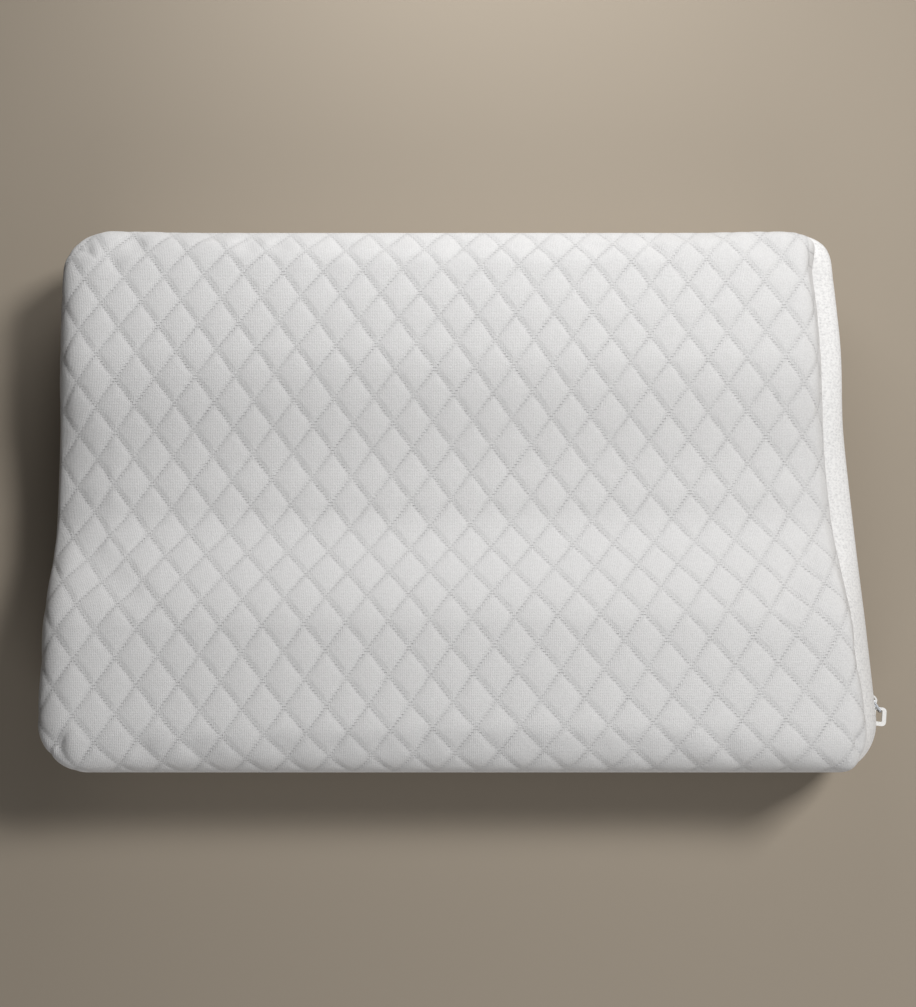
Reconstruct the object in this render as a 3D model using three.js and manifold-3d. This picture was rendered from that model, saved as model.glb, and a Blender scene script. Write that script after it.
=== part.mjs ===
// A contour bed pillow: a foam block in a liner, inside a quilted knit cover that zips along its right end.
// Millimetres. +X runs to the pillow's right end, +Y to its low back lobe, +Z up.
// The origin is the centre of the flat underside.
import * as THREE from "three";
import Module from "manifold-3d";

const { Manifold, Mesh: SolidMesh } = await loadSolids();
const { clamp, lerp, smoothstep } = THREE.MathUtils;

// Driving dimensions of the pillow.
const LENGTH = 600;
const WIDTH = 400;
const FRONT_HEIGHT = 114;
const VALLEY_HEIGHT = 80;
const BACK_HEIGHT = 95;
const BACK_EDGE_HEIGHT = 90;
const CORNER_RADIUS = 40;
const END_SLANT = THREE.MathUtils.degToRad(4.2); // the right end is drawn in towards the back
const LEFT_DRAW = 6; // how far the left end is drawn in
const COVER_THICKNESS = 3.5;
const LINER_THICKNESS = 0.8;
const SEAM_GAP = 0.4; // between neighbouring panels
const LAYER_GAP = 1; // between the cover, the liner and the foam

// Where along Y each part of the top's wave begins and ends.
const FRONT_LOBE_EDGE = -100;
const VALLEY_FRONT = -14;
const VALLEY_BACK = 10;
const BACK_LOBE_EDGE = 100;
const BACK_FALL_FROM = 120;

// Side profile: widest at the zip, drawn in at both seams.
const ZIP_LEVEL = 42;
const FLAT_HALF = 10; // half the height of the upright zone at the zip
const BOTTOM_SEAM_LEVEL = 13;
const BOTTOM_SEAM_INSET = 12;
const LEFT_INSET = 4; // of the top seam, at each side of the pillow
const FRONT_INSET = 1.5;
const BACK_INSET = 6;
const RIGHT_INSET = 20;
const RIGHT_INSET_DROP = 4; // how much less it is at the back
const CORNER_INSET_DROP = 8; // and less again round the back corner
const TOP_ROLL_SHARE = 0.4; // share of the height above the zip that the top panel's rolled edge takes
const ROLL_POWER = 3.2; // the rolled edge is a squarish ellipse
const BULGE_POWER = 1.8; // how late the side curves in towards a seam
const ZIP_RECESS = 9; // how far the upper band swells past the straight zip at the back

// Zip, measured from the skin of the right end.
const ZIP_OPENING = 12; // between the two strips of cover
const CHAIN_SLOT = 1.5; // between the two coils, where the slider's web passes
const CHAIN_HALF_LENGTH = 159.5;
const TAPE_WIDTH = 8.75;
const TAPE_THICKNESS = 0.6;
const COIL_WIDTH = 2.25;
const COIL_THICKNESS = 2.2;
const STITCH_LEVEL = 8;
const THREAD = 0.5;
const CLEARANCE = 0.3;
const STOP_LENGTH = 2;
const SLIDER_ROOM = 4; // behind the tapes, between the cover and the liner
const CURVE_STEPS = 4; // in each rounded corner of a small part

// Slider, link and ring tab.
const SLIDER_LENGTH = 12;
const SLIDER_WIDTH = 11;
const SLIDER_AT = -149.8; // along the chain when the zip is closed
const SLIDER_CORNER = 2.5;
const PLATE = 1.4;
const LIP = 1.4;
const WEB = 0.8;
const OVERLAP = 0.5; // how deep joined parts of the slider run into each other
const BRIDGE_REACH = 5.4;
const BRIDGE_HALF_SPAN = 4.5;
const BRIDGE_THICKNESS = 1.3;
const BRIDGE_WIDTH = 3;
const LINK_WIRE = 1.1;
const LINK_CORNER = 1.1;
const LINK_INNER_CORNER = 0.5;
const LINK_LENGTH = 9.4; // between the middles of its two bars
const LINK_HEIGHT = 6.4;
const LINK_ANGLE = THREE.MathUtils.degToRad(-58); // from straight out of the pillow, towards the front
const TAB_WIDTH = 10.6;
const TAB_LENGTH = 13.5;
const TAB_THICKNESS = 1.8;
const TAB_CORNER = 3;
const TAB_HOLE_WIDTH = 4.8;
const TAB_HOLE_CORNER = 0.6;
const TAB_END_BAR = 2;
const TAB_FAR_BAR = 3;
const TAB_ANGLE = THREE.MathUtils.degToRad(-6);
const TAB_REACH = 6.6; // from the link's inner bar to the tab's end bar
const TAB_ASIDE = 1.1; // the link sits to one side of the tab's hole

const WHITE_KNIT = { color: 0xf1f1f0, roughness: 0.95, metalness: 0 };
const WHITE_WEAVE = { color: 0xe9e9e6, roughness: 0.9, metalness: 0 };
const WHITE_NYLON = { color: 0xf3f3f1, roughness: 0.45, metalness: 0 };
const WHITE_PAINT = { color: 0xf4f4f2, roughness: 0.3, metalness: 0.1 };
const STEEL = { color: 0xb9bec4, roughness: 0.35, metalness: 1 };
const CREAM_FOAM = { color: 0xf0e6c8, roughness: 1, metalness: 0 };

async function loadSolids() {
  const solids = await Module();
  solids.setup();
  return solids;
}

// ---------------------------------------------------------------- solids

function solidOf(geometry) {
  const plain = geometry.index ? geometry.toNonIndexed() : geometry;
  const points = plain.getAttribute("position").array;
  const mesh = new SolidMesh({
    numProp: 3,
    vertProperties: new Float32Array(points),
    triVerts: Uint32Array.from({ length: points.length / 3 }, (_, index) => index),
  });
  mesh.merge();
  return new Manifold(mesh);
}

function geometryOf(solid) {
  const mesh = solid.getMesh();
  const geometry = new THREE.BufferGeometry();
  geometry.setAttribute("position", new THREE.BufferAttribute(mesh.vertProperties, 3));
  geometry.setIndex(new THREE.BufferAttribute(mesh.triVerts, 1));
  const faceted = geometry.toNonIndexed();
  faceted.computeVertexNormals();
  return faceted;
}

function joined(geometries) {
  return geometryOf(Manifold.union(geometries.map(solidOf)));
}

// A box given by its low and high corners.
function box(low, high) {
  const size = high.map((value, axis) => value - low[axis]);
  const centre = high.map((value, axis) => (value + low[axis]) / 2);
  return new THREE.BoxGeometry(...size).translate(...centre);
}

function piece(name, geometry, look) {
  const mesh = new THREE.Mesh(geometry, new THREE.MeshStandardMaterial(look));
  mesh.name = name;
  return mesh;
}

// A box whose every vertex is moved to place(column, row, layer), so it stays one closed surface.
function mappedBox(columns, rows, layers, place) {
  const geometry = new THREE.BoxGeometry(1, 1, 1, columns, rows, layers);
  const points = geometry.getAttribute("position");
  for (let index = 0; index < points.count; index += 1) {
    const column = Math.round((points.getX(index) + 0.5) * columns);
    const row = Math.round((points.getY(index) + 0.5) * rows);
    const layer = Math.round((points.getZ(index) + 0.5) * layers);
    points.setXYZ(index, ...place(column, row, layer));
  }
  geometry.computeVertexNormals();
  return geometry;
}

// ---------------------------------------------------------------- the pillow's shape

function topHeight(y) {
  const frontRise = smoothstep(-y, -VALLEY_FRONT, -FRONT_LOBE_EDGE);
  const backRise = smoothstep(y, VALLEY_BACK, BACK_LOBE_EDGE);
  const backFall = smoothstep(y, BACK_FALL_FROM, WIDTH / 2);
  return (
    VALLEY_HEIGHT +
    (FRONT_HEIGHT - VALLEY_HEIGHT) * frontRise +
    (BACK_HEIGHT - VALLEY_HEIGHT) * backRise -
    (BACK_HEIGHT - BACK_EDGE_HEIGHT) * backFall
  );
}

function rollHeight(y) {
  return TOP_ROLL_SHARE * (topHeight(y) - ZIP_LEVEL);
}

function topSeamLevel(y) {
  return topHeight(y) - rollHeight(y);
}

// How far in the top seam lies at each side.
function topInsets(y) {
  const cornerFrom = WIDTH / 2 - CORNER_RADIUS;
  const alongEnd = RIGHT_INSET_DROP * smoothstep(y, 0, cornerFrom);
  const roundCorner = CORNER_INSET_DROP * smoothstep(y, cornerFrom, WIDTH / 2);
  const right = RIGHT_INSET - alongEnd - roundCorner;
  return { left: LEFT_INSET, right, front: FRONT_INSET, back: BACK_INSET };
}

function bottomInsets() {
  const inset = BOTTOM_SEAM_INSET;
  return { left: inset, right: inset, front: inset, back: inset };
}

// How far the side has curved in at a level, as a share of its inset at the seam.
function bulge(level, seamLevel) {
  const run = Math.abs(seamLevel - ZIP_LEVEL) - FLAT_HALF;
  return clamp((Math.abs(level - ZIP_LEVEL) - FLAT_HALF) / run, 0, 1) ** BULGE_POWER;
}

// How far the upper band swells past the zip, most half way up it.
function swell(y, share) {
  return ZIP_RECESS * smoothstep(y, 0, BACK_FALL_FROM) * 4 * share * (1 - share);
}

// Slants the right end, moves it in by room, and draws the left end in.
function drawnIn(x, y, room) {
  const core = LENGTH / 2 - CORNER_RADIUS;
  const right = clamp(x / core, 0, 1);
  const left = clamp(-x / core, 0, 1);
  return x - right * (room + Math.tan(END_SLANT) * (y - SLIDER_AT)) + left * LEFT_DRAW;
}

// A place on the plan: (x, y) in a square-cornered outline is moved to its round-cornered one,
// drawn in by the insets and by depth.
function planPoint(x, y, insets, depth) {
  const coreX = clamp(x, CORNER_RADIUS - LENGTH / 2, LENGTH / 2 - CORNER_RADIUS);
  const coreY = clamp(y, CORNER_RADIUS - WIDTH / 2, WIDTH / 2 - CORNER_RADIUS);
  const awayX = (x - coreX) / CORNER_RADIUS;
  const awayY = (y - coreY) / CORNER_RADIUS;
  const share = Math.max(Math.abs(awayX), Math.abs(awayY));
  const turn = share > 0 ? share / Math.hypot(awayX, awayY) : 0;
  const reachX = CORNER_RADIUS - depth - (awayX > 0 ? insets.right : insets.left);
  const reachY = CORNER_RADIUS - depth - (awayY > 0 ? insets.back : insets.front);
  return { x: coreX + awayX * turn * reachX, y: coreY + awayY * turn * reachY, share: Math.min(share, 1) };
}

function topPoint(x, y, depth, room = 0, gap = 0) {
  const at = planPoint(x, y, topInsets(y), depth);
  const roll = rollHeight(at.y) - gap;
  const height = (roll - depth) * (1 - at.share ** ROLL_POWER) ** (1 / ROLL_POWER);
  return [drawnIn(at.x, at.y, room), at.y, topHeight(at.y) - roll + height];
}

function bottomPoint(x, y, depth, room = 0, gap = 0) {
  const at = planPoint(x, y, bottomInsets(), depth);
  const roll = BOTTOM_SEAM_LEVEL - gap;
  const drop = (roll - depth) * Math.sqrt(1 - at.share ** 2);
  return [drawnIn(at.x, at.y, room), at.y, roll - drop];
}

// A place on the side at rise, 0 to 1, between the levels low(y) and high(y).
function sidePoint(x, y, rise, depth, room = 0, low = bottomEdge, high = topSeamLevel) {
  const seam = topInsets(y);
  const rim = planPoint(x, y, seam, depth);
  const level = lerp(low(rim.y), high(rim.y), rise);
  const above = level > ZIP_LEVEL;
  const share = bulge(level, above ? topSeamLevel(rim.y) : BOTTOM_SEAM_LEVEL);
  const full = above ? seam : bottomInsets();
  const insets = Object.fromEntries(Object.entries(full).map(([side, inset]) => [side, share * inset]));
  insets.right -= above ? swell(y, share) : 0;
  const at = planPoint(x, y, insets, depth);
  return [drawnIn(at.x, at.y, room), at.y, level];
}

// Grid lines from one side to the other: close together round both rolled edges, as given between them.
function gridLines(half, edgeSteps, innerLines) {
  const core = half - CORNER_RADIUS;
  const edge = Array.from({ length: edgeSteps }, (_, step) =>
    core + CORNER_RADIUS * Math.cos((step / edgeSteps) * (Math.PI / 2)),
  );
  return [...edge.map((value) => -value), ...innerLines.map((share) => share * core), ...edge.reverse()];
}

function evenLines(steps) {
  return Array.from({ length: steps + 1 }, (_, step) => -1 + (2 * step) / steps);
}

const EDGE_STEPS = 5;
const WAVE_STEPS = 14; // across the top's wave
const COLUMN_LINES = gridLines(LENGTH / 2, EDGE_STEPS, evenLines(2));
const ROW_LINES = gridLines(WIDTH / 2, EDGE_STEPS, evenLines(WAVE_STEPS));

const SIDE_LEVELS = 4; // steps up the side
const ZIP_BAND_LEVELS = 5;

// The whole outside of the pillow, moved in by depth everywhere.
function pillowBody(depth, room) {
  const columns = COLUMN_LINES;
  const rows = ROW_LINES;
  const levels = SIDE_LEVELS;
  return mappedBox(columns.length - 1, rows.length - 1, levels, (column, row, level) => {
    const x = columns[column];
    const y = rows[row];
    const onRim = [0, columns.length - 1].includes(column) || [0, rows.length - 1].includes(row);
    if (onRim) {
      return sidePoint(x, y, level / levels, depth, room);
    }
    return level === 0 ? bottomPoint(x, y, depth, room) : topPoint(x, y, depth, room);
  });
}

// ---------------------------------------------------------------- the cover

function topPanel() {
  return mappedBox(COLUMN_LINES.length - 1, ROW_LINES.length - 1, 1, (column, row, layer) =>
    topPoint(COLUMN_LINES[column], ROW_LINES[row], layer === 1 ? 0 : COVER_THICKNESS, 0, SEAM_GAP),
  );
}

function bottomPanel() {
  const columns = gridLines(LENGTH / 2, EDGE_STEPS, [-1, -0.35, 0.25, 1]);
  const rows = gridLines(WIDTH / 2, EDGE_STEPS, [-1, -0.2, 0.4, 1]);
  return mappedBox(columns.length - 1, rows.length - 1, 1, (column, row, layer) =>
    bottomPoint(columns[column], rows[row], layer === 0 ? 0 : COVER_THICKNESS, 0, SEAM_GAP),
  );
}

// Points round the square outline, from the right end's back corner by the left end to its front corner.
function roundThreeSides() {
  const halfX = LENGTH / 2;
  const halfY = WIDTH / 2;
  const leftToRight = COLUMN_LINES;
  const frontCorner = ROW_LINES.slice(0, EDGE_STEPS + 1);
  const backCorner = ROW_LINES.slice(-EDGE_STEPS - 1);
  return [
    ...backCorner.map((y) => [halfX, y]),
    ...leftToRight.slice(0, -1).reverse().map((x) => [x, halfY]),
    ...ROW_LINES.slice(0, -1).reverse().map((y) => [-halfX, y]),
    ...leftToRight.slice(1).map((x) => [x, -halfY]),
    ...frontCorner.slice(1).map((y) => [halfX, y]),
  ];
}

// A strip of cover that runs along the given points of the square outline.
function band(outline, low, high, levels) {
  return mappedBox(outline.length - 1, levels, 1, (column, row, layer) => {
    const [x, y] = outline[column];
    return sidePoint(x, y, row / levels, layer === 1 ? 0 : COVER_THICKNESS, 0, low, high);
  });
}

function sideBand() {
  return band(roundThreeSides(), bottomEdge, topSeamLevel, SIDE_LEVELS);
}

function bottomEdge() {
  return BOTTOM_SEAM_LEVEL;
}

// The right end's straight stretch, a gap short of the side band at each corner.
function rightEndOutline() {
  const reach = WIDTH / 2 - CORNER_RADIUS - SEAM_GAP;
  return evenLines(WAVE_STEPS).map((share) => [LENGTH / 2, share * reach]);
}

function rightEndUpperBand() {
  return band(rightEndOutline(), () => ZIP_LEVEL + ZIP_OPENING / 2, topSeamLevel, ZIP_BAND_LEVELS);
}

function rightEndLowerBand() {
  return band(rightEndOutline(), bottomEdge, () => ZIP_LEVEL - ZIP_OPENING / 2, ZIP_BAND_LEVELS);
}

// ---------------------------------------------------------------- what the cover holds

const SLIT_HALF_LENGTH = 110;
const SLIT_HALF_HEIGHT = 4;
const LINER_DEPTH = COVER_THICKNESS + LAYER_GAP;
const FOAM_DEPTH = LINER_DEPTH + LINER_THICKNESS + LAYER_GAP;

// A sleeve with a slit in its right end, through which the foam went in.
function innerLiner() {
  const slit = box(
    [LENGTH / 2 - CORNER_RADIUS, -SLIT_HALF_LENGTH, ZIP_LEVEL - SLIT_HALF_HEIGHT],
    [LENGTH / 2, SLIT_HALF_LENGTH, ZIP_LEVEL + SLIT_HALF_HEIGHT],
  );
  const outside = solidOf(pillowBody(LINER_DEPTH, SLIDER_ROOM));
  const inside = solidOf(pillowBody(LINER_DEPTH + LINER_THICKNESS, SLIDER_ROOM));
  return geometryOf(outside.subtract(inside).subtract(solidOf(slit)));
}

function foamCore() {
  return pillowBody(FOAM_DEPTH, SLIDER_ROOM);
}

// ---------------------------------------------------------------- the zip
// Local axes: X out of the pillow from the end's skin, Y along the chain, Z up from the zip level.

const TAPE_FACE = -COVER_THICKNESS - 1.5 * CLEARANCE;
const COIL_BASE = TAPE_FACE + CLEARANCE;
const COIL_FACE = COIL_BASE + COIL_THICKNESS;
const PLATE_BACK = COIL_FACE + CLEARANCE;
const PLATE_FACE = PLATE_BACK + PLATE;
const INNER_PLATE_FACE = TAPE_FACE - TAPE_THICKNESS - CLEARANCE;

// side is 1 for the upper half of the zip and -1 for the lower.
function beside(side, from, width) {
  return side > 0 ? [from, from + width] : [-from - width, -from];
}

function tape(side) {
  const [low, high] = beside(side, CHAIN_SLOT / 2, TAPE_WIDTH);
  return box([TAPE_FACE - TAPE_THICKNESS, -CHAIN_HALF_LENGTH, low], [TAPE_FACE, CHAIN_HALF_LENGTH, high]);
}

// The coil's turns read as one rounded bead.
function coil(side) {
  const reach = CHAIN_HALF_LENGTH - STOP_LENGTH - 3 * CLEARANCE;
  const middle = side * (CHAIN_SLOT / 2 + COIL_WIDTH / 2);
  const bead = new THREE.Shape();
  bead.absellipse(0, 0, COIL_THICKNESS / 2, COIL_WIDTH / 2, 0, 2 * Math.PI);
  return cutOut(bead, 2 * reach, 2 * CURVE_STEPS)
    .rotateX(Math.PI / 2).translate((COIL_BASE + COIL_FACE) / 2, reach, middle);
}

function topStop(side) {
  const [low, high] = beside(side, CHAIN_SLOT / 2, COIL_WIDTH);
  const end = -CHAIN_HALF_LENGTH + CLEARANCE;
  return box([COIL_BASE, end, low], [COIL_FACE, end + STOP_LENGTH, high]);
}

function bottomStop() {
  const reach = CHAIN_SLOT / 2 + COIL_WIDTH;
  const end = CHAIN_HALF_LENGTH - CLEARANCE;
  return box([COIL_BASE, end - STOP_LENGTH, -reach], [COIL_FACE, end, reach]);
}

function stitching(side) {
  const [low, high] = beside(side, STITCH_LEVEL, THREAD);
  const reach = CHAIN_HALF_LENGTH - STOP_LENGTH / 2;
  return box([CLEARANCE, -reach, low], [CLEARANCE + THREAD, reach, high]);
}

function roundedRectangle(width, height, radius, middle = 0) {
  const x = width / 2 - radius;
  const y = height / 2 - radius;
  const shape = new THREE.Shape();
  shape.absarc(x, middle + y, radius, 0, Math.PI / 2);
  shape.absarc(-x, middle + y, radius, Math.PI / 2, Math.PI);
  shape.absarc(-x, middle - y, radius, Math.PI, 1.5 * Math.PI);
  shape.absarc(x, middle - y, radius, 1.5 * Math.PI, 2 * Math.PI);
  return shape;
}

// A plate of the given outline.
function cutOut(outline, thickness, steps = CURVE_STEPS) {
  return new THREE.ExtrudeGeometry(outline, { depth: thickness, bevelEnabled: false, curveSegments: steps });
}

// A slider plate between two distances out of the pillow.
function sliderPlate(from, to) {
  const flat = cutOut(roundedRectangle(SLIDER_LENGTH, SLIDER_WIDTH, SLIDER_CORNER), to - from);
  const standing = new THREE.Matrix4().makeBasis(
    new THREE.Vector3(0, 1, 0),
    new THREE.Vector3(0, 0, 1),
    new THREE.Vector3(1, 0, 0),
  );
  return flat.applyMatrix4(standing).translate(from, 0, 0);
}

// The arched strip on the slider that holds the link.
function bridge() {
  const sunk = PLATE / 2;
  const insideReach = BRIDGE_REACH - BRIDGE_THICKNESS;
  const insideHalf = BRIDGE_HALF_SPAN - BRIDGE_THICKNESS;
  const arch = new THREE.Shape();
  arch.moveTo(-sunk, -BRIDGE_HALF_SPAN);
  arch.absellipse(0, 0, BRIDGE_REACH, BRIDGE_HALF_SPAN, -Math.PI / 2, Math.PI / 2);
  arch.lineTo(-sunk, BRIDGE_HALF_SPAN);
  arch.lineTo(-sunk, insideHalf);
  arch.absellipse(0, 0, insideReach, insideHalf, Math.PI / 2, -Math.PI / 2, true);
  arch.lineTo(-sunk, -insideHalf);
  return cutOut(arch, BRIDGE_WIDTH, 3 * CURVE_STEPS).translate(PLATE_FACE, 0, -BRIDGE_WIDTH / 2);
}

// Two plates either side of the chain, joined by a web through its slot, with a lip outside each coil.
function sliderBody() {
  const reach = SLIDER_LENGTH / 2 - SLIDER_CORNER / 2;
  const outerEdge = PLATE_BACK + OVERLAP;
  const web = box([INNER_PLATE_FACE - OVERLAP, -reach, -WEB / 2], [outerEdge, reach, WEB / 2]);
  const lips = [1, -1].map((side) => {
    const [low, high] = beside(side, CHAIN_SLOT / 2 + COIL_WIDTH + CLEARANCE, LIP);
    return box([TAPE_FACE + CLEARANCE, -reach, low], [outerEdge, reach, high]);
  });
  const outer = sliderPlate(PLATE_BACK, PLATE_FACE);
  const inner = sliderPlate(INNER_PLATE_FACE - PLATE, INNER_PLATE_FACE);
  return joined([outer, inner, web, ...lips, bridge()]);
}

// A wire loop: one bar lies under the bridge at the group's origin, the other goes through the ring tab.
function pullLink() {
  const loop = roundedRectangle(LINK_LENGTH + LINK_WIRE, LINK_HEIGHT, LINK_CORNER);
  const inside = roundedRectangle(LINK_LENGTH - LINK_WIRE, LINK_HEIGHT - 2 * LINK_WIRE, LINK_INNER_CORNER);
  loop.holes.push(inside);
  return cutOut(loop, LINK_WIRE).rotateX(Math.PI / 2).translate(LINK_LENGTH / 2, LINK_WIRE / 2, 0);
}

// The ring tab, with the middle of its end bar at the group's origin.
function pullTab() {
  const holeLength = TAB_LENGTH - TAB_END_BAR - TAB_FAR_BAR;
  const ring = roundedRectangle(TAB_WIDTH, TAB_LENGTH, TAB_CORNER, (TAB_END_BAR - TAB_LENGTH) / 2);
  const holeMiddle = -(TAB_END_BAR + holeLength) / 2;
  ring.holes.push(roundedRectangle(TAB_HOLE_WIDTH, holeLength, TAB_HOLE_CORNER, holeMiddle));
  return cutOut(ring, TAB_THICKNESS).translate(0, 0, -TAB_THICKNESS / 2);
}

// ---------------------------------------------------------------- putting it together

function zip() {
  const group = new THREE.Group();
  const end = LENGTH / 2 + Math.tan(END_SLANT) * SLIDER_AT;
  group.position.set(end, 0, ZIP_LEVEL);
  group.rotation.z = END_SLANT;
  group.add(
    piece("zipper_tape_upper", tape(1), WHITE_WEAVE),
    piece("zipper_tape_lower", tape(-1), WHITE_WEAVE),
    piece("zipper_coil_upper", coil(1), WHITE_NYLON),
    piece("zipper_coil_lower", coil(-1), WHITE_NYLON),
    piece("zipper_top_stop_upper", topStop(1), STEEL),
    piece("zipper_top_stop_lower", topStop(-1), STEEL),
    piece("zipper_bottom_stop", bottomStop(), STEEL),
    piece("zipper_stitching_upper", stitching(1), WHITE_WEAVE),
    piece("zipper_stitching_lower", stitching(-1), WHITE_WEAVE),
    slider(),
  );
  return group;
}

function slider() {
  const group = new THREE.Group();
  group.position.y = SLIDER_AT;
  group.add(piece("slider_body", sliderBody(), STEEL), pull());
  return group;
}

// The link turns about the bar under the bridge, and the tab about its end bar in the link.
function pull() {
  const link = new THREE.Group();
  const barAt = PLATE_FACE + (BRIDGE_REACH - BRIDGE_THICKNESS) / 2 + CLEARANCE;
  link.position.x = barAt;
  link.rotation.z = LINK_ANGLE;
  link.add(piece("pull_link", pullLink(), STEEL));
  const tab = new THREE.Group();
  tab.position.x = barAt + TAB_REACH * Math.cos(LINK_ANGLE) + TAB_ASIDE * Math.cos(TAB_ANGLE);
  tab.position.y = TAB_REACH * Math.sin(LINK_ANGLE) + TAB_ASIDE * Math.sin(TAB_ANGLE);
  tab.rotation.z = TAB_ANGLE;
  tab.add(piece("pull_tab", pullTab(), WHITE_PAINT));
  const group = new THREE.Group();
  group.rotation.z = -END_SLANT;
  group.add(link, tab);
  return group;
}

function pillow() {
  const group = new THREE.Group();
  group.add(
    piece("foam_core", foamCore(), CREAM_FOAM),
    piece("inner_liner", innerLiner(), WHITE_WEAVE),
    piece("top_panel", topPanel(), WHITE_KNIT),
    piece("bottom_panel", bottomPanel(), WHITE_KNIT),
    piece("side_band", sideBand(), WHITE_KNIT),
    piece("right_end_upper_band", rightEndUpperBand(), WHITE_KNIT),
    piece("right_end_lower_band", rightEndLowerBand(), WHITE_KNIT),
    zip(),
  );
  return group;
}

export default pillow();
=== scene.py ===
"""A contour bed pillow in a quilted knit cover that zips along its right end.

Shapes are worked out in millimetres and made in metres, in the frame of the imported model:
+X to the end that zips, -Y to the high lobe, +Z up.
"""

import math

import bmesh
import bpy
import numpy as np
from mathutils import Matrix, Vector


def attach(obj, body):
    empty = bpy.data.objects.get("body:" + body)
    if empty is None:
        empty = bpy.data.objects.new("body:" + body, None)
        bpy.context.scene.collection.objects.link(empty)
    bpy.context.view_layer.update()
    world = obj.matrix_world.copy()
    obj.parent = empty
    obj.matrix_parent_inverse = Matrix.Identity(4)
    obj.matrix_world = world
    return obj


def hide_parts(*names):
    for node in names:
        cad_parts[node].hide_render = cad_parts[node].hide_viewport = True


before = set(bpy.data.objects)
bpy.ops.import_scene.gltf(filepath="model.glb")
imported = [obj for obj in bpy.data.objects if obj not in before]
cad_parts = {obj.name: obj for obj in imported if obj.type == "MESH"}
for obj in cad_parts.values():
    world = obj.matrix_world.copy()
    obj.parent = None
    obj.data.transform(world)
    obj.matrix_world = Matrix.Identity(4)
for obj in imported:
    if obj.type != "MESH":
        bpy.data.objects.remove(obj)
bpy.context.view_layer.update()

MM = 0.001

# ------------------------------------------------------------------ the pillow's shape, in millimetres

HALF_LENGTH = 300.0
HALF_WIDTH = 200.0
CORNER = 40.0
FRONT_HEIGHT = 114.0
VALLEY_HEIGHT = 80.0
BACK_HEIGHT = 95.0
BACK_EDGE_HEIGHT = 90.0
FRONT_RISE = (14, 100)
BACK_RISE = (10, 100)
BACK_FALL = (120, HALF_WIDTH)
ZIP_LEVEL = 42.0
FLAT_HALF = 10.0
BOTTOM_SEAM_LEVEL = 13.0
BOTTOM_SEAM_INSET = 12.0
TOP_ROLL_SHARE = 0.4
LEFT_INSET = 4.0
FRONT_INSET = 1.5
BACK_INSET = 6.0
RIGHT_INSET = 20.0
RIGHT_INSET_DROP = 4.0
CORNER_INSET_DROP = 8.0
BULGE_POWER = 1.8
ROLL_POWER = 3.2
BACK_RIGHT_POWER = 3.0
END_ANGLE = math.radians(4.2)
END_SLANT = math.tan(END_ANGLE)
SLIDER_AT = -149.8
LEFT_DRAW = 6.0
ZIP_RECESS = 9.0
ZIP_RECESS_RISE = (0, 120)
COVER_THICKNESS = 3.5
SEAM_GAP = 0.4
BAND_GAP = 0.05


def smooth(value, low, high):
    """Rises smoothly from 0 at low to 1 at high."""
    share = np.clip((value - low) / (high - low), 0, 1)
    return share * share * (3 - 2 * share)


def top_height(y):
    front_rise = smooth(-y, *FRONT_RISE)
    back_rise = smooth(y, *BACK_RISE)
    back_fall = smooth(y, *BACK_FALL)
    return (
        VALLEY_HEIGHT
        + (FRONT_HEIGHT - VALLEY_HEIGHT) * front_rise
        + (BACK_HEIGHT - VALLEY_HEIGHT) * back_rise
        - (BACK_HEIGHT - BACK_EDGE_HEIGHT) * back_fall
    )


def roll_height(y):
    """How far the top's rolled edge reaches down, to the seam."""
    return TOP_ROLL_SHARE * (top_height(y) - ZIP_LEVEL)


def top_seam_level(y):
    return top_height(y) - roll_height(y)


def right_inset(y):
    """How far the top seam lies in from the right end, which is least at the back corner."""
    along_end = RIGHT_INSET_DROP * smooth(y, 0, HALF_WIDTH - CORNER)
    round_corner = CORNER_INSET_DROP * smooth(y, HALF_WIDTH - CORNER, HALF_WIDTH)
    return RIGHT_INSET - along_end - round_corner


def zip_recess(y, share):
    """Towards the back the band swells out past the zip, which runs straight."""
    return ZIP_RECESS * smooth(y, *ZIP_RECESS_RISE) * 4 * share * (1 - share)


def bulge(level, seam_level):
    """How much of a seam's inset the side has at this level: none by the zip, all at the seam."""
    run = np.abs(seam_level - ZIP_LEVEL) - FLAT_HALF
    share = np.clip((np.abs(level - ZIP_LEVEL) - FLAT_HALF) / run, 0, 1)
    return share**BULGE_POWER


def drawn_in(x, y):
    """The right end slants inwards towards the back, and the left end is drawn in a little."""
    right = np.clip(x / (HALF_LENGTH - CORNER), 0, 1)
    left = np.clip(-x / (HALF_LENGTH - CORNER), 0, 1)
    return x - right * END_SLANT * (y - SLIDER_AT) + left * LEFT_DRAW


def plan(x, y, insets, depth):
    """Moves (x, y) from a square-cornered outline to the round-cornered one, insets in from its sides.

    Also returns how far across the rolled edge each point lies, from 0 inside it to 1 at the rim.
    """
    left, right, front, back = insets
    core_x = np.clip(x, CORNER - HALF_LENGTH, HALF_LENGTH - CORNER)
    core_y = np.clip(y, CORNER - HALF_WIDTH, HALF_WIDTH - CORNER)
    away_x = (x - core_x) / CORNER
    away_y = (y - core_y) / CORNER
    share = np.maximum(np.abs(away_x), np.abs(away_y))
    power = np.where((away_x > 0) & (away_y > 0), BACK_RIGHT_POWER, 2)
    away = (np.abs(away_x) ** power + np.abs(away_y) ** power) ** (1 / power)
    turn = share / np.maximum(away, 1e-9)
    reach_x = CORNER - depth - np.where(away_x > 0, right, left)
    reach_y = CORNER - depth - np.where(away_y > 0, back, front)
    return core_x + away_x * turn * reach_x, core_y + away_y * turn * reach_y, np.minimum(share, 1)


def top_insets(y):
    return LEFT_INSET, right_inset(y), FRONT_INSET, BACK_INSET


BOTTOM_INSETS = (BOTTOM_SEAM_INSET,) * 4


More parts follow.
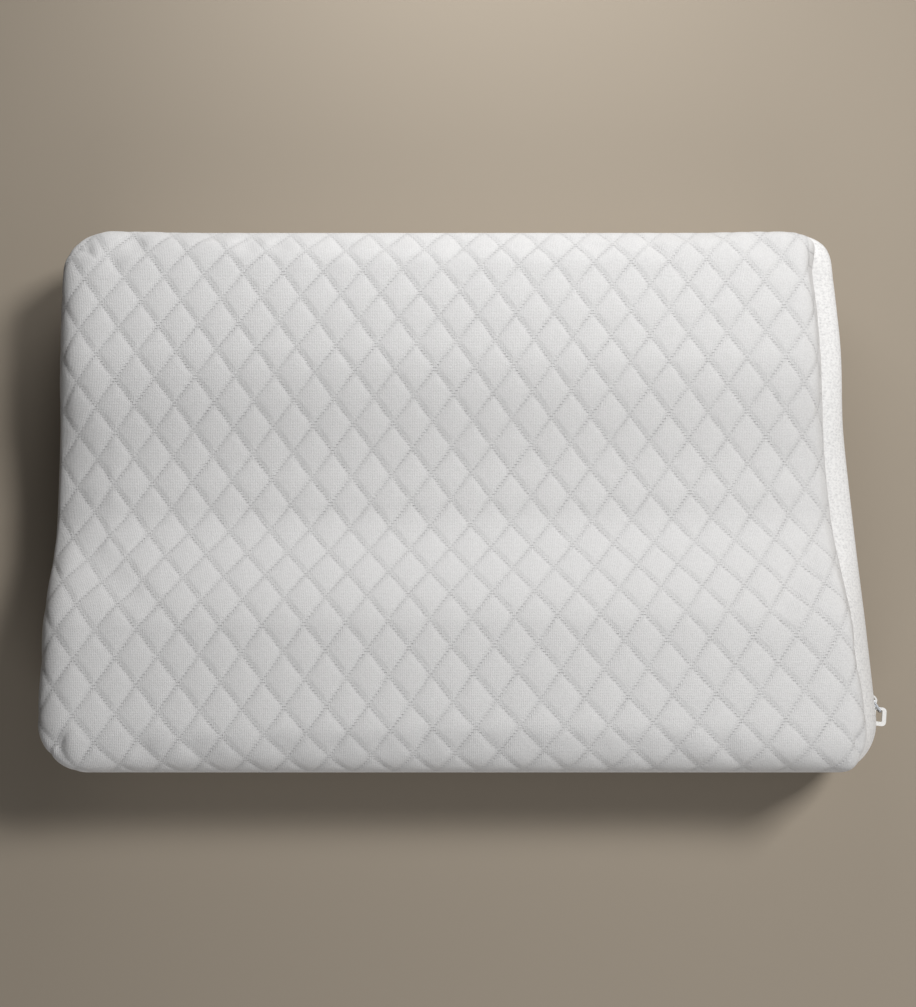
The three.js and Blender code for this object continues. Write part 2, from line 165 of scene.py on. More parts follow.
def top_points(x, y, depth=0.0, gap=0.0):
    """Points on the top, this deep under its surface and with this gap above the seam."""
    px, py, share = plan(x, y, top_insets(y), depth)
    roll = roll_height(py) - gap
    pz = top_height(py) - roll + (roll - depth) * (1 - share**ROLL_POWER) ** (1 / ROLL_POWER)
    return np.stack([drawn_in(px, py), py, pz], axis=-1)


def bottom_points(x, y, depth=0.0, gap=0.0):
    px, py, share = plan(x, y, BOTTOM_INSETS, depth)
    roll = BOTTOM_SEAM_LEVEL - gap
    pz = roll - (roll - depth) * np.sqrt(1 - share**2)
    return np.stack([drawn_in(px, py), py, pz], axis=-1)


def side_points(x, y, level, depth=0.0):
    """Points on the side at these levels, this deep under its surface."""
    _, rim_y, _ = plan(x, y, top_insets(y), depth)
    above = level > ZIP_LEVEL
    share = bulge(level, np.where(above, top_seam_level(rim_y), BOTTOM_SEAM_LEVEL))
    insets = [np.where(above, upper, BOTTOM_SEAM_INSET) * share for upper in top_insets(y)]
    insets[1] = insets[1] - np.where(above, zip_recess(y, share), 0)
    px, py, _ = plan(x, y, insets, depth)
    return np.stack([drawn_in(px, py), py, level + 0 * px], axis=-1)


# ------------------------------------------------------------------ the quilting

CELL_ACROSS = 28.6
CELL_ALONG = 37.7
LINE_SPACING = 1 / math.hypot(1 / CELL_ACROSS, 1 / CELL_ALONG)
ROW_RISE = math.tan(math.radians(1.93))
COLUMN_BOW = 0.066
QUILT_SHIFT = (0.692, 0.683)
PUFF = 0.9
SHOULDER = 4.0
SHOULDER_SHARE = 0.45


def quilt_place(across, along):
    """Columns and rows of diamonds: a line of stitching is where their sum or difference is whole."""
    pulled = along / 100
    column = across / CELL_ACROSS - COLUMN_BOW * (pulled + pulled**2) + QUILT_SHIFT[0]
    row = (along - ROW_RISE * across) / CELL_ALONG + QUILT_SHIFT[1]
    return column, row


def quilt_relief(across, along):
    """The cloth's height against the crowns of its diamonds, in millimetres: 0 there, lower elsewhere."""
    rise = 1.0
    column, row = quilt_place(across, along)
    for line in (column + row, column - row):
        away = np.abs(line - np.round(line)) * LINE_SPACING
        shoulder = smooth(away, 0, SHOULDER)
        crown = np.sin(math.pi * away / LINE_SPACING)
        rise = rise * (SHOULDER_SHARE * shoulder + (1 - SHOULDER_SHARE) * crown)
    return PUFF * (rise - 1)


def arc_length(points):
    """The distance along a line of points, from its start to each of them."""
    steps = np.linalg.norm(np.diff(points, axis=0), axis=1)
    return np.concatenate([[0], np.cumsum(steps)])


# ------------------------------------------------------------------ meshes from grids


def edge_and_core_lines(half, edge_count, core_count):
    """Grid lines that crowd round both rolled edges."""
    core = half - CORNER
    edge = core + CORNER * np.cos(np.linspace(0, math.pi / 2, edge_count + 1))
    inner = np.linspace(-core, core, core_count + 1)[1:-1]
    return np.concatenate([-edge, inner, edge[::-1]])


def plan_grid(edge_lines, core_columns, core_rows):
    """x and y at each point of a grid over the square-cornered outline."""
    x_lines = edge_and_core_lines(HALF_LENGTH, edge_lines, core_columns)
    y_lines = edge_and_core_lines(HALF_WIDTH, edge_lines, core_rows)
    return np.meshgrid(x_lines, y_lines, indexing="ij")


def grid_faces(columns, rows, first=0):
    """A grid's quads as rows of point numbers, which count from first."""
    index = first + np.arange(columns * rows).reshape(columns, rows)
    corners = [index[:-1, :-1], index[1:, :-1], index[1:, 1:], index[:-1, 1:]]
    return np.stack(corners, axis=-1).reshape(-1, 4)


def rim_loop(columns, rows):
    """The numbers of the points round a grid's rim, in order."""
    index = np.arange(columns * rows).reshape(columns, rows)
    return np.concatenate([index[:, 0], index[-1, 1:], index[-2::-1, -1], index[0, -2:0:-1]])


def new_object(name, points, faces, cloth=None):
    """A smooth mesh object from points in millimetres. cloth is each point's place on the flat cloth."""
    mesh = bpy.data.meshes.new(name)
    mesh.from_pydata((points * MM).tolist(), [], faces.tolist())
    if cloth is not None:
        corner_points = np.zeros(len(mesh.loops), dtype=np.int32)
        mesh.loops.foreach_get("vertex_index", corner_points)
        quilt = np.stack(quilt_place(cloth[:, 0], cloth[:, 1]), axis=-1)
        for map_name, values in (("cloth", cloth / 100), ("quilt", quilt)):
            layer = mesh.uv_layers.new(name=map_name)
            layer.data.foreach_set("uv", values[corner_points].ravel())
    mesh.polygons.foreach_set("use_smooth", [True] * len(mesh.polygons))
    mesh.update()
    made = bpy.data.objects.new(name, mesh)
    bpy.context.scene.collection.objects.link(made)
    return made


SHARP_FROM = math.radians(60)


def shell(name, outer, inner, cloth):
    """A closed shell between two grids of points with the same number of columns and rows."""
    columns, rows = outer.shape[:2]
    count = columns * rows
    rim = rim_loop(columns, rows)
    after = np.roll(rim, -1)
    outside = grid_faces(columns, rows)
    inside = grid_faces(columns, rows, count)[:, ::-1]
    edge = np.stack([after, rim, rim + count, after + count], axis=-1)
    faces = np.concatenate([outside, inside, edge])
    points = np.concatenate([outer.reshape(-1, 3), inner.reshape(-1, 3)])
    flat = cloth.reshape(-1, 2)
    made = new_object(name, points, faces, np.concatenate([flat, flat]))
    made.data.set_sharp_from_angle(angle=SHARP_FROM)
    return made


# ------------------------------------------------------------------ materials


class Recipe:
    """Writes a material's nodes from plain calls. Every call returns an output socket."""

    def __init__(self, name, colour, roughness, **shader):
        self.material = bpy.data.materials.new(name)
        self.material.use_nodes = True
        self.nodes = self.material.node_tree.nodes
        self.links = self.material.node_tree.links
        self.shader = self.nodes["Principled BSDF"]
        self.shader.inputs["Base Color"].default_value = (*colour, 1)
        self.shader.inputs["Roughness"].default_value = roughness
        for socket, value in shader.items():
            self.shader.inputs[socket.replace("_", " ")].default_value = value

    def put(self, socket, value):
        """Links the value to the socket if it is a socket itself, or else sets it."""
        if isinstance(value, bpy.types.NodeSocket):
            self.links.new(value, socket)
        else:
            socket.default_value = value

    def math(self, operation, first, second=0.0, third=0.0):
        node = self.nodes.new("ShaderNodeMath")
        node.operation = operation
        for socket, value in zip(node.inputs, (first, second, third)):
            self.put(socket, value)
        return node.outputs[0]

    def map_values(self, map_name, factor):
        """The two values of a stored map, each times the factor."""
        uv = self.nodes.new("ShaderNodeUVMap")
        uv.uv_map = map_name
        split = self.nodes.new("ShaderNodeSeparateXYZ")
        self.links.new(uv.outputs[0], split.inputs[0])
        return [self.math("MULTIPLY", split.outputs[axis], factor) for axis in (0, 1)]

    def cloth(self):
        """Across and along the cloth, in millimetres."""
        return self.map_values("cloth", 100.0)

    def place(self):
        coordinates = self.nodes.new("ShaderNodeTexCoord")
        return coordinates.outputs["Object"]

    def noise(self, scale, detail=2.0, roughness=0.5):
        node = self.nodes.new("ShaderNodeTexNoise")
        self.put(node.inputs["Vector"], self.place())
        node.inputs["Scale"].default_value = scale
        node.inputs["Detail"].default_value = detail
        node.inputs["Roughness"].default_value = roughness
        return node.outputs["Fac"]

    def wave(self, value, period):
        """Runs from 0 to 1 and back in each period."""
        turn = self.math("MULTIPLY", value, 2 * math.pi / period)
        return self.math("MULTIPLY_ADD", self.math("SINE", turn), 0.5, 0.5)

    def ramp(self, value, *stops):
        """A colour from the value, by stops of a position and a colour."""
        node = self.nodes.new("ShaderNodeValToRGB")
        while len(node.color_ramp.elements) < len(stops):
            node.color_ramp.elements.new(0.5)
        for element, (position, colour) in zip(node.color_ramp.elements, stops):
            element.position = position
            element.color = (*colour, 1)
        self.put(node.inputs[0], value)
        return node.outputs[0]

    def between(self, value, low, high):
        """Rises smoothly from 0 at low to 1 at high."""
        node = self.nodes.new("ShaderNodeMapRange")
        node.interpolation_type = "SMOOTHSTEP"
        self.put(node.inputs["Value"], value)
        node.inputs["From Min"].default_value = low
        node.inputs["From Max"].default_value = high
        return node.outputs[0]

    def bump(self, height, distance, strength):
        """Adds a bump to the bumps that the shader already has."""
        node = self.nodes.new("ShaderNodeBump")
        node.inputs["Strength"].default_value = strength
        node.inputs["Distance"].default_value = distance
        self.put(node.inputs["Height"], height)
        if self.shader.inputs["Normal"].is_linked:
            self.links.new(self.shader.inputs["Normal"].links[0].from_socket, node.inputs["Normal"])
        self.links.new(node.outputs[0], self.shader.inputs["Normal"])

    def colour(self, value):
        self.put(self.shader.inputs["Base Color"], value)


# The distance in millimetres between a knit's columns and between its rows, and how many steps the
# quilting's serrated edge takes across a diamond.
WALE = 1.25
COURSE = 1.1
BAND_WALE = 2.1
BAND_COURSE = 1.8
STEPS_PER_CELL = 18


def knit_height(recipe, across, along):
    """Rows of small knitted stitches."""
    wale = recipe.wave(across, WALE)
    course = recipe.wave(recipe.math("ADD", along, recipe.math("MULTIPLY", wale, 0.3)), COURSE)
    return recipe.math("MULTIPLY", wale, course)


def away_from_stitching(recipe, column, row):
    """Distance in millimetres to the nearest line of quilting."""
    lines = (recipe.math("ADD", column, row), recipe.math("SUBTRACT", column, row))
    away = [recipe.math("PINGPONG", line, 0.5) for line in lines]
    return recipe.math("MULTIPLY", recipe.math("MINIMUM", *away), LINE_SPACING)


def quilted_knit():
    """A fine knit that puffs up between serrated lines of stitching, with a dimple at each stitch; painted
    shade darkens the grooves along the stitching and the dimples.
    """
    recipe = Recipe("quilted_knit", (0.8, 0.8, 0.8), 0.92, Sheen_Weight=0.2, Sheen_Roughness=0.5)
    across, along = recipe.cloth()
    knit = knit_height(recipe, across, along)
    column, row = recipe.map_values("quilt", 1.0)
    plain = away_from_stitching(recipe, column, row)
    whole_steps = [recipe.math("SNAP", value, 1 / STEPS_PER_CELL) for value in (column, row)]
    stepped = away_from_stitching(recipe, *whole_steps)
    puff_and_groove_shade = recipe.between(stepped, 0.8, 2.6)
    pit_row = recipe.wave(row, 1 / STEPS_PER_CELL)
    pit_and_painted_shade = recipe.math("MULTIPLY", pit_row, recipe.math("SUBTRACT", 1.0, recipe.between(plain, 0.4, 1.4)))
    pit_and_painted_shade = recipe.between(pit_and_painted_shade, 0.55, 0.95)
    mottle = recipe.noise(1000.0, 3.0, 0.6)
    shade = recipe.math("MULTIPLY_ADD", knit, 0.1, recipe.math("MULTIPLY", mottle, 0.8))
    # Painted shade: the grooves along the stitching are darker and the puffs between them lighter.
    shade = recipe.math("MULTIPLY_ADD", puff_and_groove_shade, 0.06, shade)
    # Painted shade: each stitch's dimple is darker.
    shade = recipe.math("SUBTRACT", shade, recipe.math("MULTIPLY", pit_and_painted_shade, 0.22))
    recipe.colour(recipe.ramp(shade, (0.0, (0.6, 0.6, 0.607)), (0.75, (0.83, 0.83, 0.837))))
    recipe.bump(recipe.math("MULTIPLY_ADD", mottle, 1.5, knit), 0.00025, 0.8)
    recipe.bump(puff_and_groove_shade, 0.00022, 0.8)
    recipe.bump(pit_and_painted_shade, -0.0004, 0.8)
    return recipe.material


def band_knit():
    """The open, speckled knit of the side bands."""
    recipe = Recipe("band_knit", (0.8, 0.8, 0.8), 0.92, Sheen_Weight=0.25)
    across, along = recipe.cloth()
    loops = recipe.math("MULTIPLY", recipe.wave(across, BAND_WALE), recipe.wave(along, BAND_COURSE))
    speckle = recipe.noise(520.0, 3.0, 0.65)
    shade = recipe.math("MULTIPLY_ADD", loops, -0.12, speckle)
    recipe.colour(recipe.ramp(shade, (0.2, (0.66, 0.66, 0.67)), (0.55, (0.9, 0.9, 0.905))))
    recipe.bump(shade, 0.0006, 0.8)
    return recipe.material


def plain_knit():
    recipe = Recipe("plain_knit", (0.78, 0.78, 0.77), 0.95, Sheen_Weight=0.2)
    across, along = recipe.cloth()
    knit = knit_height(recipe, across, along)
    shade = recipe.math("MULTIPLY_ADD", knit, 0.5, recipe.math("MULTIPLY", recipe.noise(300.0), 0.5))
    recipe.colour(recipe.ramp(shade, (0.1, (0.7, 0.7, 0.69)), (0.8, (0.82, 0.82, 0.81))))
    recipe.bump(knit, 0.0003, 0.8)
    return recipe.material


def woven(name, colour, pitch):
    """A plain weave with threads this far apart, in millimetres."""
    recipe = Recipe(name, colour, 0.85, Sheen_Weight=0.15)
    coordinates = recipe.nodes.new("ShaderNodeSeparateXYZ")
    recipe.links.new(recipe.place(), coordinates.inputs[0])
    period = pitch * MM
    over = recipe.wave(coordinates.outputs[1], period)
    under = recipe.wave(coordinates.outputs[2], period)
    weave = recipe.math("MULTIPLY", over, under)
    dark = tuple(0.86 * value for value in colour)
    recipe.colour(recipe.ramp(weave, (0.0, dark), (0.7, colour)))
    recipe.bump(weave, 0.0002, 0.8)
    return recipe.material


def foam():
    """Cream foam with open pores."""
    recipe = Recipe("foam", (0.82, 0.76, 0.6), 1.0, Subsurface_Weight=0.1)
    pores = recipe.noise(700.0, 4.0, 0.7)
    recipe.colour(recipe.ramp(pores, (0.35, (0.7, 0.63, 0.47)), (0.6, (0.86, 0.8, 0.65))))
    recipe.bump(pores, 0.0006, 0.7)
    return recipe.material


def nylon():
    recipe = Recipe("nylon", (0.82, 0.82, 0.81), 0.4, Specular_IOR_Level=0.5)
    haze = recipe.noise(400.0)
    recipe.colour(recipe.ramp(haze, (0.3, (0.76, 0.76, 0.75)), (0.7, (0.85, 0.85, 0.84))))
    recipe.put(recipe.shader.inputs["Roughness"], recipe.math("MULTIPLY_ADD", haze, 0.2, 0.3))
    return recipe.material


def painted():
    recipe = Recipe("painted_metal", (0.86, 0.86, 0.85), 0.3, Coat_Weight=0.3, Coat_Roughness=0.15)
    ripple = recipe.noise(500.0, 2.0)
    recipe.colour(recipe.ramp(ripple, (0.3, (0.82, 0.82, 0.815)), (0.7, (0.88, 0.88, 0.87))))
    recipe.put(recipe.shader.inputs["Roughness"], recipe.math("MULTIPLY_ADD", ripple, 0.15, 0.25))
    recipe.bump(ripple, 0.00008, 0.5)
    return recipe.material


def steel():
    recipe = Recipe("bare_steel", (0.6, 0.63, 0.68), 0.3, Metallic=1.0)
    scratches = recipe.noise(1500.0, 4.0, 0.7)
    recipe.colour(recipe.ramp(scratches, (0.3, (0.5, 0.53, 0.58)), (0.7, (0.68, 0.71, 0.76))))
    recipe.put(recipe.shader.inputs["Roughness"], recipe.math("MULTIPLY_ADD", scratches, 0.25, 0.2))
    recipe.bump(scratches, 0.00003, 0.5)
    return recipe.material


KNIT = quilted_knit()
BAND_KNIT = band_knit()
PLAIN = plain_knit()
TAPE = woven("tape_weave", (0.8, 0.8, 0.78), 0.7)
LINER = woven("liner_weave", (0.78, 0.78, 0.76), 0.9)
THREAD = woven("thread", (0.84, 0.84, 0.82), 0.3)
FOAM = foam()
NYLON = nylon()
PAINT = painted()
STEEL = steel()


def finished(piece, material, slot, body, *nodes):
    """Gives a piece its material and the body it rides on, and hides the CAD nodes it stands for. The slot
    argument is not used.
    """
    piece.data.materials.clear()
    piece.data.materials.append(material)
    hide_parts(*nodes)
    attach(piece, body)
    return piece


# ------------------------------------------------------------------ the cover

KNIT_THICKNESS = 1.5
TOP_THICKNESS = COVER_THICKNESS + 0.5
ZIP_OPENING = 6.0
SEAM_ROLL = 5.0
SEAM_TUCK = 1.6
RELIEF_FADE = 18.0
SETTLING_FRAMES = 20
MOST_SETTLING = 2.5
COARSE_STEP = 8


def tucked(outer, inner, reach, relief=0.0):
    """Moves the outer grid of a shell out by the relief, and tucks it in near the seams it reaches."""
    outwards = outer - inner
    outwards /= np.linalg.norm(outwards, axis=2, keepdims=True)
    sunk = (1 - smooth(reach, 0, SEAM_ROLL)) ** 3
    rise = relief * smooth(reach, 0, RELIEF_FADE) - SEAM_TUCK * sunk
    return outer + outwards * rise[..., None]


def settled(points, step):
    """How far each point of a grid of cloth moves when a coarse copy, held at its rim, fills with air."""
    coarse = points[::step, ::step]
    columns, rows = coarse.shape[:2]
    sheet = new_object("settling", coarse.reshape(-1, 3), grid_faces(columns, rows))
    held = sheet.vertex_groups.new(name="held")
    held.add(rim_loop(columns, rows).tolist(), 1.0, "REPLACE")
    cloth = sheet.modifiers.new("cloth", "CLOTH").settings
    cloth.quality = 6
    cloth.mass = 0.1
    cloth.tension_stiffness = 8
    cloth.compression_stiffness = 8
    cloth.bending_stiffness = 0.2
    cloth.shrink_min = -0.012
    cloth.use_pressure = True
    cloth.uniform_pressure_force = 4
    cloth.vertex_group_mass = "held"
    cloth.effector_weights.gravity = 0
    scene = bpy.context.scene
    for moment in range(1, SETTLING_FRAMES + 1):
        scene.frame_set(moment)
    after = sheet.evaluated_get(bpy.context.evaluated_depsgraph_get()).data
    places = np.zeros(columns * rows * 3)
    after.vertices.foreach_get("co", places)
    moved = places.reshape(coarse.shape) / MM - coarse
    length = np.linalg.norm(moved, axis=2, keepdims=True)
    moved *= MOST_SETTLING * np.tanh(length / MOST_SETTLING) / np.maximum(length, 1e-6)
    bpy.data.objects.remove(sheet)
    scene.frame_set(1)
    return refined(refined(moved, step).swapaxes(0, 1), step).swapaxes(0, 1)


def refined(values, step):
    """Cubic interpolation of evenly spaced values along the first axis."""
    count = (len(values) - 1) * step + 1
    place = np.arange(count) / step
    left = np.minimum(place.astype(int), len(values) - 2)
    part = (place - left).reshape(-1, *[1] * (values.ndim - 1))
    before, after = values[left], values[left + 1]
    slope = np.gradient(values, axis=0)
    bend_before = slope[left] - (after - before)
    bend_after = (after - before) - slope[left + 1]
    straight = before + (after - before) * part
    return straight + part * (1 - part) * ((1 - part) * bend_before + part * bend_after)


def cloth_place(values, lines, middle_line):
    """How far along a panel's middle line, from the panel's middle, each value of x or y is reached."""
    length = arc_length(middle_line)
    return np.interp(values, lines, length - np.interp(0, lines, length))


def cloth_grid(px, py, points):
    """Across and along the cloth at each point of a grid, given its places in plan."""
    columns, rows = px.shape
    across = cloth_place(px, px[:, rows // 2], points[:, rows // 2])
    along = cloth_place(py, py[columns // 2], points[columns // 2])
    return across, along


def top_panel():
    x, y = plan_grid(28, 43 * COARSE_STEP, 27 * COARSE_STEP)
    outer = top_points(x, y, 0, SEAM_GAP)
    inner = top_points(x, y, TOP_THICKNESS, SEAM_GAP)
    px, py, share = plan(x, y, top_insets(y), 0)
    across, along = cloth_grid(px, py, outer)
    reach = np.hypot(CORNER * (1 - share), outer[..., 2] - top_seam_level(py))
    settling = settled(outer, COARSE_STEP)
    outer = tucked(outer, inner, reach, quilt_relief(across, along)) + settling
    made = shell("top_panel_quilted", outer, inner, np.stack([across, along], -1))
    return finished(made, KNIT, "quilted_knit", "pillow", "top_panel")


def bottom_panel():
    x, y = plan_grid(14, 120, 80)
    outer = bottom_points(x, y, 0, SEAM_GAP)
    inner = bottom_points(x, y, KNIT_THICKNESS, SEAM_GAP)
    px, py, _ = plan(x, y, BOTTOM_INSETS, 0)
    cloth = np.stack(cloth_grid(px, py, outer), -1)
    made = shell("bottom_panel_knit", outer[::-1], inner[::-1], cloth[::-1])
    return finished(made, PLAIN, "plain_knit", "pillow", "bottom_panel")


def band(name, outline, low, high, node):
    """A strip of the cover along part of the outline, between the levels low(y) and high(y)."""
    rises = np.linspace(0, 1, 32)
    x = outline[:, 0, None] + 0 * rises
    y = outline[:, 1, None] + 0 * rises

    def grid(depth):
        _, rim_y, _ = plan(x, y, top_insets(y), depth)
        level = low(rim_y) + (high(rim_y) - low(rim_y)) * rises
        return side_points(x, y, level, depth)

    outer = grid(0)
    inner = grid(COVER_THICKNESS)
    across = arc_length(outer[:, 0])[:, None] + 0 * rises
    along = outer[..., 2]
    reach = np.minimum(along - along[:, :1], along[:, -1:] - along)
    made = shell(name, tucked(outer, inner, reach), inner, np.stack([across, along], -1))
    return finished(made, BAND_KNIT, "quilted_knit", "pillow", node)


def three_sides():
    """Points round the square outline, from the right end's back corner by the left end to its front one."""
    steps = CORNER * np.tan(np.linspace(0, math.pi / 4, 15))
    core_x = HALF_LENGTH - CORNER
    core_y = HALF_WIDTH - CORNER
    back_right = [(HALF_LENGTH, core_y + step) for step in steps]
    back_right += [(core_x + step, HALF_WIDTH) for step in steps[-2::-1]]
    back = [(x, HALF_WIDTH) for x in np.linspace(core_x, -core_x, 260)[1:-1]]
    left = [(-HALF_LENGTH, y) for y in np.linspace(core_y, 0, 80)[1:]]
    back_left = [(-x, y) for x, y in back_right[::-1]]
    half = back_right + back + back_left + left
    other = [(x, -y) for x, y in half[-2::-1]]
    return np.array(half + other)


def right_end():
    """Points along the straight part of the right end."""
    reach = HALF_WIDTH - CORNER - BAND_GAP
    return np.array([(HALF_LENGTH, y) for y in np.linspace(-reach, reach, 200)])


def bottom_seam(y):
    return BOTTOM_SEAM_LEVEL + 0 * y


def above_zip(y):
    return ZIP_LEVEL + ZIP_OPENING + 0 * y


def below_zip(y):
    return ZIP_LEVEL - ZIP_OPENING + 0 * y


def bands():
    band("side_band_quilted", three_sides(), bottom_seam, top_seam_level, "side_band")
    band("end_band_upper_quilted", right_end(), above_zip, top_seam_level, "right_end_upper_band")
    band("end_band_lower_quilted", right_end(), bottom_seam, below_zip, "right_end_lower_band")


top_panel()
bottom_panel()
bands()

# ------------------------------------------------------------------ foam and liner

FOAM_DEPTH = 7.2
LINER_DEPTH = 5.6
LINER_THICKNESS = 0.4
ROOM_FOR_ZIP = 5.0
SLIT_FROM = 280.0
SLIT_HALF_LENGTH = 110.0
SLIT_HALF_HEIGHT = 6.0
SIDE_RINGS = 5


def whole_body(depth):
    """A closed grid body this deep inside the cover, from its top, bottom and side grids."""
    x, y = plan_grid(6, 40, 32)
    columns, rows = x.shape
    count = columns * rows
    rim = rim_loop(columns, rows)
    rises = np.linspace(0, 1, SIDE_RINGS + 2)[1:-1]
    rim_x = x.reshape(-1)[rim]
    rim_y = y.reshape(-1)[rim]
    rings = []
    for rise in rises:
        _, at_y, _ = plan(rim_x, rim_y, top_insets(rim_y), depth)
        level = BOTTOM_SEAM_LEVEL + (top_seam_level(at_y) - BOTTOM_SEAM_LEVEL) * rise
        rings.append(side_points(rim_x, rim_y, level, depth))
    points = np.concatenate(
        [bottom_points(x, y, depth).reshape(-1, 3), top_points(x, y, depth).reshape(-1, 3), *rings]
    )
    points[:, 0] -= ROOM_FOR_ZIP * np.clip(points[:, 0] / (HALF_LENGTH - CORNER), 0, 1)
    layers = [rim]
    for number in range(len(rises)):
        layers.append(2 * count + number * len(rim) + np.arange(len(rim)))
    layers.append(rim + count)
    sides = [
        np.stack([lower, np.roll(lower, -1), np.roll(upper, -1), upper], axis=-1)
        for lower, upper in zip(layers[:-1], layers[1:])
    ]
    bottom = grid_faces(columns, rows)[:, ::-1]
    top = grid_faces(columns, rows, count)
    return points, np.concatenate([bottom, top, *sides])


def foam_core():
    points, faces = whole_body(FOAM_DEPTH)
    made = new_object("foam_block", points, faces)
    made.modifiers.new("round", "SUBSURF").render_levels = 1
    return finished(made, FOAM, "foam", "pillow", "foam_core")


def inner_liner():
    """A thin sleeve with a slit in its right end."""
    points, faces = whole_body(LINER_DEPTH)
    x, y, z = points[faces].mean(axis=1).T
    slit = (x > SLIT_FROM) & (np.abs(y) < SLIT_HALF_LENGTH) & (np.abs(z - ZIP_LEVEL) < SLIT_HALF_HEIGHT)
    made = new_object("liner_sleeve", points, faces[~slit])
    thickness = made.modifiers.new("thickness", "SOLIDIFY")
    thickness.thickness = LINER_THICKNESS * MM
    thickness.offset = -1
    return finished(made, LINER, "liner", "pillow", "inner_liner")


foam_core()
inner_liner()

# ------------------------------------------------------------------ the zip

SAME_POINT = 0.01
FLAT_WITHIN = math.radians(1)
BEVEL_FROM = math.radians(35)


def softened(node, name, width, material, slot, body):
    """A copy of a CAD node's shape with its edges rounded over this width."""
    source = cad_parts[node].data
    mesh = source.copy()
    build = bmesh.new()
    build.from_mesh(mesh)
    bmesh.ops.remove_doubles(build, verts=build.verts, dist=SAME_POINT * MM)
    bmesh.ops.dissolve_limit(build, angle_limit=FLAT_WITHIN, verts=build.verts, edges=build.edges)
    build.to_mesh(mesh)
    build.free()
    made = bpy.data.objects.new(name, mesh)
    bpy.context.scene.collection.objects.link(made)
    bevel = made.modifiers.new("edges", "BEVEL")
    bevel.width = width * MM
    bevel.segments = 3
    bevel.limit_method = "ANGLE"
    bevel.angle_limit = BEVEL_FROM
    mesh.polygons.foreach_set("use_smooth", [True] * len(mesh.polygons))
    made.modifiers.new("shading", "WEIGHTED_NORMAL").keep_sharp = True
    return finished(made, material, slot, body, node)


END_AT = HALF_LENGTH + END_SLANT * SLIDER_AT
TUBE_SIDES = 6
TUBE_LEAN = (0.31, 0.17, 0.93)


def chain_place(local):
    """From the zip's own axes (out, along the chain, up) to the row frame, in millimetres."""
    out, along, up = local[..., 0], local[..., 1], local[..., 2]
    x = END_AT + out * math.cos(END_ANGLE) - along * math.sin(END_ANGLE)
    y = out * math.sin(END_ANGLE) + along * math.cos(END_ANGLE)
    return np.stack([x, y, ZIP_LEVEL + up], axis=-1)


def tube(path, radius):
    """Rings of points round a path, and the faces between them."""
    heading = np.gradient(path, axis=0)
    heading /= np.linalg.norm(heading, axis=1, keepdims=True)
    level = np.cross(heading, TUBE_LEAN)
    level /= np.linalg.norm(level, axis=1, keepdims=True)
    rise = np.cross(level, heading)
    angles = np.linspace(0, 2 * math.pi, TUBE_SIDES, endpoint=False)
    ring = np.cos(angles)[None, :, None] * level[:, None] + np.sin(angles)[None, :, None] * rise[:, None]
    points = path[:, None] + radius * ring
    count = len(path)
    index = np.arange(count * TUBE_SIDES).reshape(count, TUBE_SIDES)
    turned = np.roll(index, -1, axis=1)
    faces = np.stack([index[:-1], turned[:-1], turned[1:], index[1:]], axis=-1).reshape(-1, 4)
    return points.reshape(-1, 3), faces


COIL_MIDDLE = 1.9
COIL_OUT = -2.4
COIL_PITCH = 1.35
COIL_REACH = 156.0
COIL_HALF_DEPTH = 0.75
COIL_HALF_HEIGHT = 0.78
COIL_WIRE = 0.33
STEPS_PER_TURN = 10


def coil(side, name, node):
    """A nylon coil: turns wound round the tape's edge."""
    turns = int(2 * COIL_REACH / COIL_PITCH)
    angle = np.linspace(0, 2 * math.pi * turns, turns * STEPS_PER_TURN + 1)
    local = np.stack(
        [
            COIL_OUT + COIL_HALF_DEPTH * np.cos(angle),
            -COIL_REACH + COIL_PITCH * angle / (2 * math.pi),
            side * (COIL_MIDDLE + COIL_HALF_HEIGHT * np.sin(angle)),
        ],
        axis=-1,
    )
    points, faces = tube(chain_place(local), COIL_WIRE)
    return finished(new_object(name, points, faces), NYLON, "coil", "pillow", node)


STITCH = 2.4
STITCH_GAP = 0.7
STITCH_RISE = 0.45
STITCH_SINK = 0.1
STITCHES_REACH = 157.0
STITCHES_FROM_MIDDLE = 8.25
THREAD_RADIUS = 0.25


def stitching(side, name, node):
    """A row of short sunk threads beside the zip."""
    starts = np.arange(-STITCHES_REACH, STITCHES_REACH - 1, STITCH + STITCH_GAP)
    bow = np.linspace(0, 1, 7)
    all_points = []
    all_faces = []
    count = 0
    for start in starts:
        out = STITCH_RISE * np.sin(bow * math.pi) - STITCH_SINK
        up = side * STITCHES_FROM_MIDDLE + 0 * bow
        local = np.stack([out, start + STITCH * bow, up], axis=-1)
        points, faces = tube(chain_place(local), THREAD_RADIUS)
        all_points.append(points)
        all_faces.append(faces + count)
        count += len(points)
    made = new_object(name, np.concatenate(all_points), np.concatenate(all_faces))
    return finished(made, THREAD, "thread", "pillow", node)


for side, word in ((1, "upper"), (-1, "lower")):
    coil(side, f"coil_{word}_turns", f"zipper_coil_{word}")
    stitching(side, f"stitches_{word}", f"zipper_stitching_{word}")
    softened(f"zipper_tape_{word}", f"tape_{word}_woven", 0.15, TAPE, "tape", "pillow")
    softened(f"zipper_top_stop_{word}", f"top_stop_{word}_crimp", 0.4, STEEL, "bare_metal", "pillow")
softened("zipper_bottom_stop", "bottom_stop_crimp", 0.4, STEEL, "bare_metal", "pillow")
softened("slider_body", "slider_cast", 0.22, PAINT, "painted_slider", "slider")
softened("pull_link", "pull_link_wire", 0.35, STEEL, "bare_metal", "link")
softened("pull_tab", "pull_tab_ring", 0.6, PAINT, "painted_slider", "tab")

# ------------------------------------------------------------------ floor, light and camera, in metres

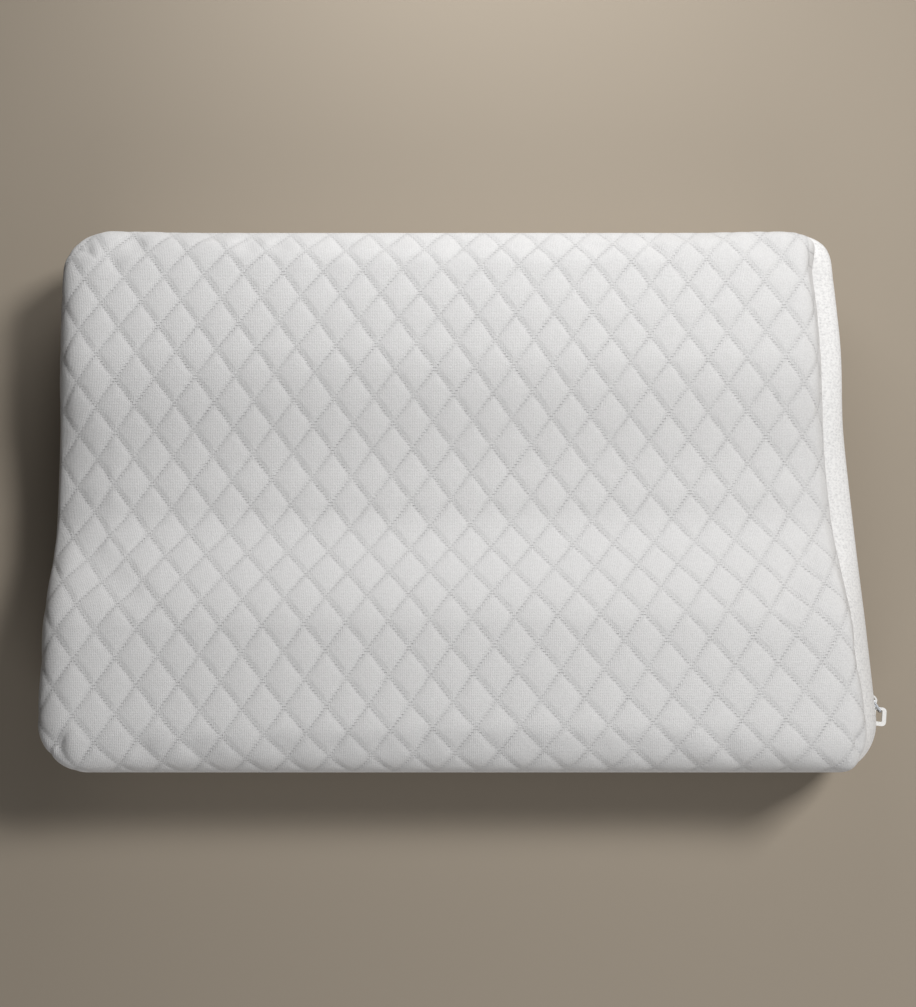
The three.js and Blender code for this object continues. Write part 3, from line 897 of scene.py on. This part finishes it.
FLOOR_REACH = 6.0
FLOOR_DROP = 0.0005
FLOOR_COLOUR = (0.37, 0.32, 0.26)
CAMERA_PLACE = (0, -0.149, 1.073)
CAMERA_TILT = math.radians(8)


def floor():
    mesh = bpy.data.meshes.new("floor")
    corners = [(x * FLOOR_REACH, y * FLOOR_REACH, 0) for x, y in ((-1, -1), (1, -1), (1, 1), (-1, 1))]
    mesh.from_pydata(corners, [], [(0, 1, 2, 3)])
    made = bpy.data.objects.new("floor", mesh)
    made.location.z = -FLOOR_DROP
    bpy.context.scene.collection.objects.link(made)
    recipe = Recipe("floor", FLOOR_COLOUR, 0.9, Specular_IOR_Level=0.1)
    made.data.materials.append(recipe.material)


def area_light(name, place, target, size, power, colour):
    data = bpy.data.lights.new(name, "AREA")
    data.size = size
    data.energy = power
    data.color = colour
    made = bpy.data.objects.new(name, data)
    made.location = place
    made.rotation_euler = (Vector(target) - Vector(place)).to_track_quat("-Z", "Y").to_euler()
    bpy.context.scene.collection.objects.link(made)


def lighting():
    world = bpy.data.worlds.new("soft_room")
    world.use_nodes = True
    background = world.node_tree.nodes["Background"]
    background.inputs["Color"].default_value = (1.0, 0.99, 0.98, 1)
    background.inputs["Strength"].default_value = 0.06
    bpy.context.scene.world = world
    area_light("key", (0.85, 0.5, 1.45), (0, 0, 0.05), 0.4, 21.0, (1.0, 0.985, 0.96))
    area_light("back_glow", (0.0, 0.6, 0.32), (0, 0.1, 0.08), 0.4, 1.6, (1.0, 1.0, 1.0))
    area_light("front_fill", (0.1, -1.1, 0.6), (0, 0, 0.08), 0.8, 4.0, (1.0, 1.0, 1.0))
    bpy.context.scene.view_settings.view_transform = "Standard"


def camera():
    data = bpy.data.cameras.new("camera")
    data.lens = 50
    data.sensor_width = 36
    made = bpy.data.objects.new("camera", data)
    made.location = CAMERA_PLACE
    made.rotation_euler = (CAMERA_TILT, 0, 0)
    data.clip_start = 0.01
    bpy.context.scene.collection.objects.link(made)
    bpy.context.scene.camera = made


floor()
lighting()
camera()
